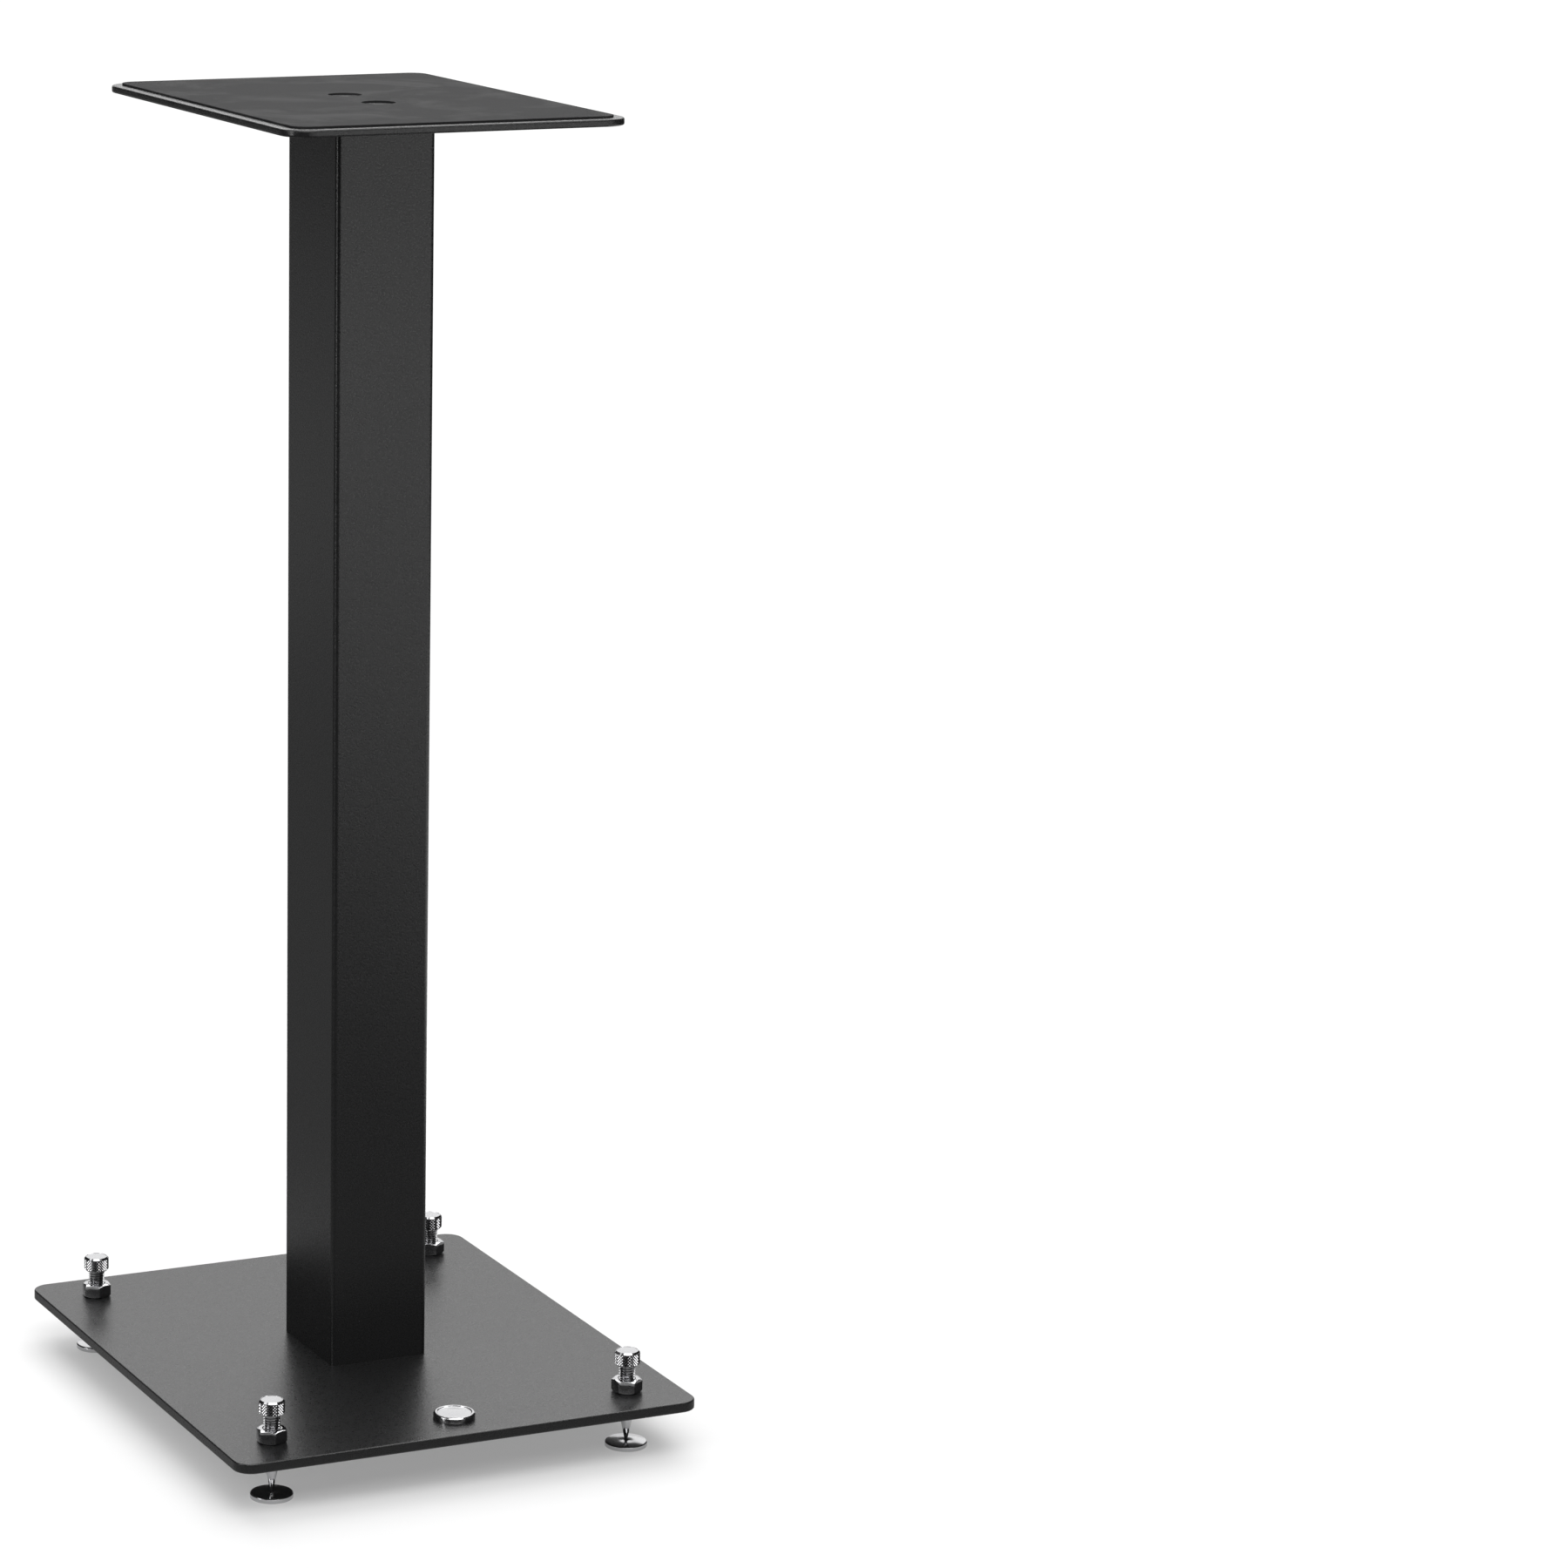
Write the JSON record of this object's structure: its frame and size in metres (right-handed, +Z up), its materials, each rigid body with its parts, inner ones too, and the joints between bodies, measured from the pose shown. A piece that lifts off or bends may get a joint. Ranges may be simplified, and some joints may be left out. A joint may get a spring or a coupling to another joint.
{
  "type": "speaker stand",
  "caption": "Speaker stand: a flat rectangular base on adjustable spikes with floor discs, a plain rectangular column, and a small top plate with a thin rubber mat.",
  "frame": {"origin": "on the floor under the middle of the column, which is the middle of the base plate", "axes": "+Z up, the front with the badge faces -Y, +X to the right as seen from the front"},
  "size_m": [0.237, 0.287, 0.638],
  "materials": {
    "powder_coat": "satin black powder coat with a fine grain",
    "mat_rubber": "matte dark grey rubber sheet with faint smudges",
    "bright_plating": "polished bright plating, knurled on the turning heads",
    "black_screws": "black oxide",
    "bare_steel": "plain steel, hidden inside the column"
  },
  "bodies": {
    "stand": {"base_plate": "powder_coat", "column": "powder_coat", "column_lower_end_plate": "bare_steel", "column_upper_end_plate": "bare_steel", "top_plate": "powder_coat", "top_mat": "mat_rubber", "top_screw_front": "black_screws", "top_screw_rear": "black_screws", "base_screw_front": "black_screws", "base_screw_rear": "black_screws", "front_badge": "bright_plating"},
    "disc_front_left": {"floor_disc_front_left": "bright_plating"},
    "spike_front_left": {"spike_stud_front_left": "bright_plating"},
    "nut_front_left": {"lock_nut_front_left": "bright_plating"},
    "disc_front_right": {"floor_disc_front_right": "bright_plating"},
    "spike_front_right": {"spike_stud_front_right": "bright_plating"},
    "nut_front_right": {"lock_nut_front_right": "bright_plating"},
    "disc_rear_left": {"floor_disc_rear_left": "bright_plating"},
    "spike_rear_left": {"spike_stud_rear_left": "bright_plating"},
    "nut_rear_left": {"lock_nut_rear_left": "bright_plating"},
    "disc_rear_right": {"floor_disc_rear_right": "bright_plating"},
    "spike_rear_right": {"spike_stud_rear_right": "bright_plating"},
    "nut_rear_right": {"lock_nut_rear_right": "bright_plating"}
  },
  "joints": [
    {"name": "front_left_height", "type": "slide", "parent": "stand", "child": "disc_front_left", "axis": [0, 0, 1], "range_m": [-0.0068, 0.0037]},
    {"name": "front_left_spike_turn", "type": "hinge", "parent": "disc_front_left", "child": "spike_front_left", "pos_m": [-0.092, -0.117, 0.002], "axis": [0, 0, 1], "range_deg": [-1944, 1065]},
    {"name": "front_left_nut_turn", "type": "hinge", "parent": "stand", "child": "nut_front_left", "pos_m": [-0.092, -0.117, 0.0275], "axis": [0, 0, 1], "range_deg": [0, 360]},
    {"name": "front_right_height", "type": "slide", "parent": "stand", "child": "disc_front_right", "axis": [0, 0, 1], "range_m": [-0.0068, 0.0037]},
    {"name": "front_right_spike_turn", "type": "hinge", "parent": "disc_front_right", "child": "spike_front_right", "pos_m": [0.092, -0.117, 0.002], "axis": [0, 0, 1], "range_deg": [-1944, 1065]},
    {"name": "front_right_nut_turn", "type": "hinge", "parent": "stand", "child": "nut_front_right", "pos_m": [0.092, -0.117, 0.0275], "axis": [0, 0, 1], "range_deg": [0, 360]},
    {"name": "rear_left_height", "type": "slide", "parent": "stand", "child": "disc_rear_left", "axis": [0, 0, 1], "range_m": [-0.0068, 0.0037]},
    {"name": "rear_left_spike_turn", "type": "hinge", "parent": "disc_rear_left", "child": "spike_rear_left", "pos_m": [-0.092, 0.117, 0.002], "axis": [0, 0, 1], "range_deg": [-1944, 1065]},
    {"name": "rear_left_nut_turn", "type": "hinge", "parent": "stand", "child": "nut_rear_left", "pos_m": [-0.092, 0.117, 0.0275], "axis": [0, 0, 1], "range_deg": [0, 360]},
    {"name": "rear_right_height", "type": "slide", "parent": "stand", "child": "disc_rear_right", "axis": [0, 0, 1], "range_m": [-0.0068, 0.0037]},
    {"name": "rear_right_spike_turn", "type": "hinge", "parent": "disc_rear_right", "child": "spike_rear_right", "pos_m": [0.092, 0.117, 0.002], "axis": [0, 0, 1], "range_deg": [-1944, 1065]},
    {"name": "rear_right_nut_turn", "type": "hinge", "parent": "stand", "child": "nut_rear_right", "pos_m": [0.092, 0.117, 0.0275], "axis": [0, 0, 1], "range_deg": [0, 360]}
  ],
  "couplings": [
    {"joint": "front_left_height", "follows": "front_left_spike_turn", "m_per_rad": 0.00019894},
    {"joint": "front_right_height", "follows": "front_right_spike_turn", "m_per_rad": 0.00019894},
    {"joint": "rear_left_height", "follows": "rear_left_spike_turn", "m_per_rad": 0.00019894},
    {"joint": "rear_right_height", "follows": "rear_right_spike_turn", "m_per_rad": 0.00019894}
  ]
}
